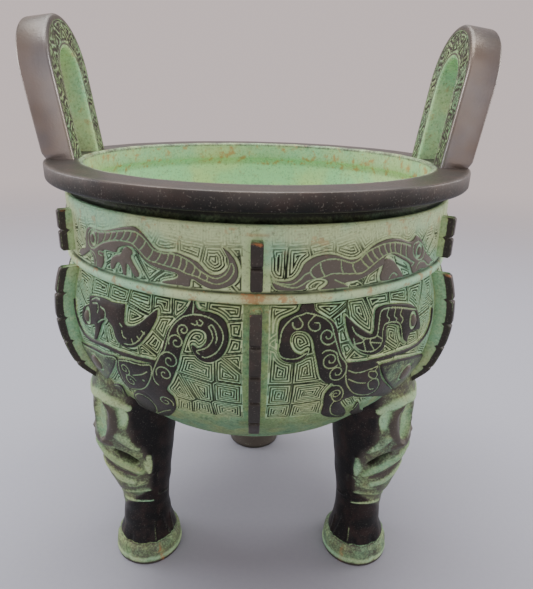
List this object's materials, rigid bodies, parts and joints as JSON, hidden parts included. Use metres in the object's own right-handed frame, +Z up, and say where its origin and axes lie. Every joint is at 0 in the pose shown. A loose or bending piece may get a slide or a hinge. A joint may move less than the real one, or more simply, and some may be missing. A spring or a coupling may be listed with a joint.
{
  "type": "bronze ding vessel",
  "caption": "Small one-piece cast bronze ding: round bowl with upright rim ears, notched flanges, raised dragons and beast faces, on hoofed legs.",
  "frame": {"origin": "on the floor under the centre of the bowl", "axes": "+Z up, the front (a dividing flange between two legs) faces -Y, the ears stand at +X and -X"},
  "size_m": [0.159, 0.155, 0.2062],
  "materials": {
    "patinated_bronze": "Cast bronze, dark brown-black and half polished on raised work, with green to aqua patina in the hollows and small rust-orange stains."
  },
  "bodies": {
    "root": {"ding_vessel": "patinated_bronze"}
  },
  "joints": []
}
